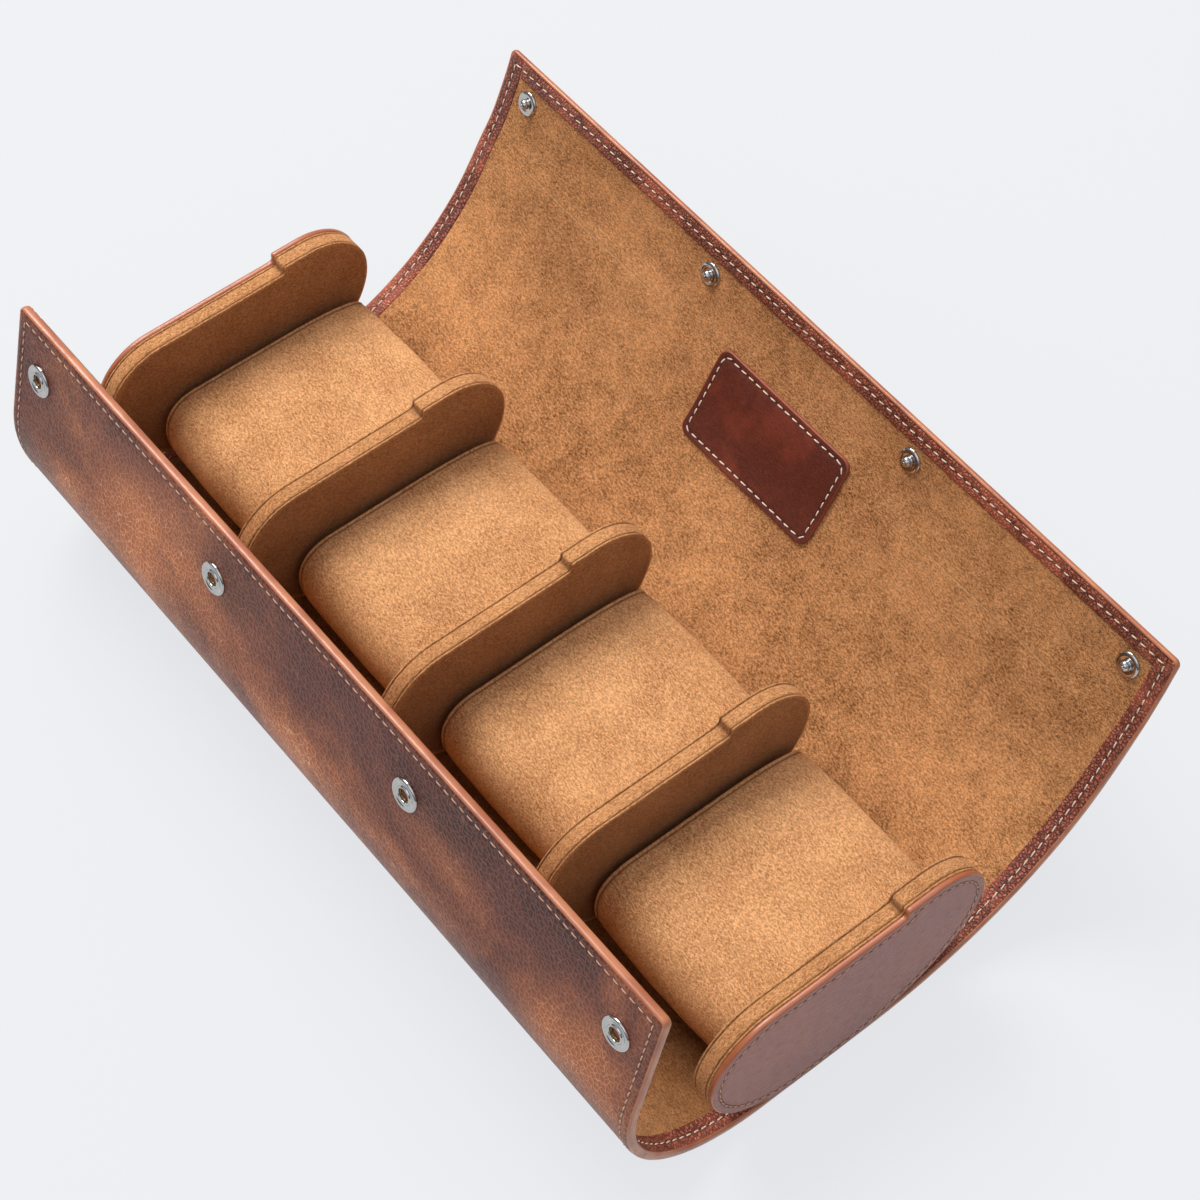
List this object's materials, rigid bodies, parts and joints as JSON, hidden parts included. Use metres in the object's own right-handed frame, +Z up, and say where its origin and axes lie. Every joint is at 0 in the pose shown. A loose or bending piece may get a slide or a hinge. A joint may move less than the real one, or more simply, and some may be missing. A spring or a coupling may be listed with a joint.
{
  "type": "watch roll",
  "caption": "Open leather watch roll: a wrap of two folding flaps round stepped suede dividers with lift-out pillows between them, closed by snaps.",
  "frame": {"origin": "on the table, under the middle of the flat base and half way along the roll", "axes": "+X along the roll, +Y from the front flap towards the back flap, +Z up"},
  "size_m": [0.342, 0.2233, 0.1152],
  "materials": {
    "outer_leather": "mottled pull-up leather, satin",
    "binding_leather": "grained leather, satin",
    "label_leather": "smooth leather, satin",
    "lining_suede": "tan microsuede, matt",
    "divider_suede": "tan microsuede, matt",
    "pillow_suede": "tan microsuede, matt",
    "board": "stiffener board, matt, out of sight",
    "foam": "soft foam, matt, out of sight",
    "chrome": "polished",
    "brass": "darkened"
  },
  "bodies": {
    "base": {"base_leather": "outer_leather", "base_board": "board", "base_lining": "lining_suede", "base_binding": "binding_leather", "divider_1": "divider_suede", "divider_2": "divider_suede", "divider_3": "divider_suede", "divider_4": "divider_suede", "divider_5": "divider_suede", "divider_boards": "board", "end_cap_left": "binding_leather", "end_cap_right": "binding_leather"},
    "front_lower": {"front_lower_leather": "outer_leather", "front_lower_board": "board", "front_lower_lining": "lining_suede", "front_lower_binding": "binding_leather"},
    "front_shoulder": {"front_shoulder_leather": "outer_leather", "front_shoulder_board": "board", "front_shoulder_lining": "lining_suede", "front_shoulder_binding": "binding_leather"},
    "front_flap": {"front_flap_leather": "outer_leather", "front_flap_board": "board", "front_flap_lining": "lining_suede", "front_flap_binding": "binding_leather", "snap_sockets": "chrome", "snap_rings": "brass"},
    "back_lower": {"back_lower_leather": "outer_leather", "back_lower_board": "board", "back_lower_lining": "lining_suede", "back_lower_binding": "binding_leather"},
    "back_middle": {"back_middle_leather": "outer_leather", "back_middle_board": "board", "back_middle_lining": "lining_suede", "back_middle_binding": "binding_leather"},
    "back_shoulder": {"back_shoulder_leather": "outer_leather", "back_shoulder_board": "board", "back_shoulder_lining": "lining_suede", "back_shoulder_binding": "binding_leather"},
    "back_flap": {"back_flap_leather": "outer_leather", "back_flap_board": "board", "back_flap_lining": "lining_suede", "back_flap_binding": "binding_leather", "snap_studs": "chrome", "snap_rivets": "brass", "label_patch": "label_leather"},
    "pillow_1": {"pillow_cover_1": "pillow_suede", "pillow_core_1": "foam"},
    "pillow_2": {"pillow_cover_2": "pillow_suede", "pillow_core_2": "foam"},
    "pillow_3": {"pillow_cover_3": "pillow_suede", "pillow_core_3": "foam"},
    "pillow_4": {"pillow_cover_4": "pillow_suede", "pillow_core_4": "foam"}
  },
  "joints": [
    {"name": "front_lower_fold", "type": "hinge", "parent": "base", "child": "front_lower", "pos_m": [0, -0.021, 0.0018], "axis": [1, 0, 0], "range_deg": [-27, 3]},
    {"name": "front_shoulder_fold", "type": "hinge", "parent": "front_lower", "child": "front_shoulder", "pos_m": [0, -0.06397, 0.02052], "axis": [1, 0, 0], "range_deg": [-22.5, 2.5]},
    {"name": "front_flap_fold", "type": "hinge", "parent": "front_shoulder", "child": "front_flap", "pos_m": [0, -0.07634, 0.04641], "axis": [1, 0, 0], "range_deg": [-26.5, 2.95]},
    {"name": "back_lower_fold", "type": "hinge", "parent": "base", "child": "back_lower", "pos_m": [0, 0.04358, 0.00361], "axis": [-1, 0, 0], "range_deg": [-29.95, 6]},
    {"name": "back_middle_fold", "type": "hinge", "parent": "back_lower", "child": "back_middle", "pos_m": [0, 0.08267, 0.01797], "axis": [-1, 0, 0], "range_deg": [-22.9, 4.59]},
    {"name": "back_shoulder_fold", "type": "hinge", "parent": "back_middle", "child": "back_shoulder", "pos_m": [0, 0.10199, 0.03229], "axis": [-1, 0, 0], "range_deg": [-28, 5.61]},
    {"name": "back_flap_fold", "type": "hinge", "parent": "back_shoulder", "child": "back_flap", "pos_m": [0, 0.10951, 0.04006], "axis": [-1, 0, 0], "range_deg": [-32.74, 6.56]},
    {"name": "pillow_1_lift", "type": "slide", "parent": "base", "child": "pillow_1", "axis": [0, 0, 1], "range_m": [0, 0.075]},
    {"name": "pillow_2_lift", "type": "slide", "parent": "base", "child": "pillow_2", "axis": [0, 0, 1], "range_m": [0, 0.075]},
    {"name": "pillow_3_lift", "type": "slide", "parent": "base", "child": "pillow_3", "axis": [0, 0, 1], "range_m": [0, 0.075]},
    {"name": "pillow_4_lift", "type": "slide", "parent": "base", "child": "pillow_4", "axis": [0, 0, 1], "range_m": [0, 0.075]}
  ],
  "couplings": [
    {"joint": "front_shoulder_fold", "follows": "front_lower_fold", "ratio": 0.83333},
    {"joint": "front_flap_fold", "follows": "front_lower_fold", "ratio": 0.98148},
    {"joint": "back_middle_fold", "follows": "back_lower_fold", "ratio": 0.76461},
    {"joint": "back_shoulder_fold", "follows": "back_lower_fold", "ratio": 0.93489},
    {"joint": "back_flap_fold", "follows": "back_lower_fold", "ratio": 1.0932}
  ]
}
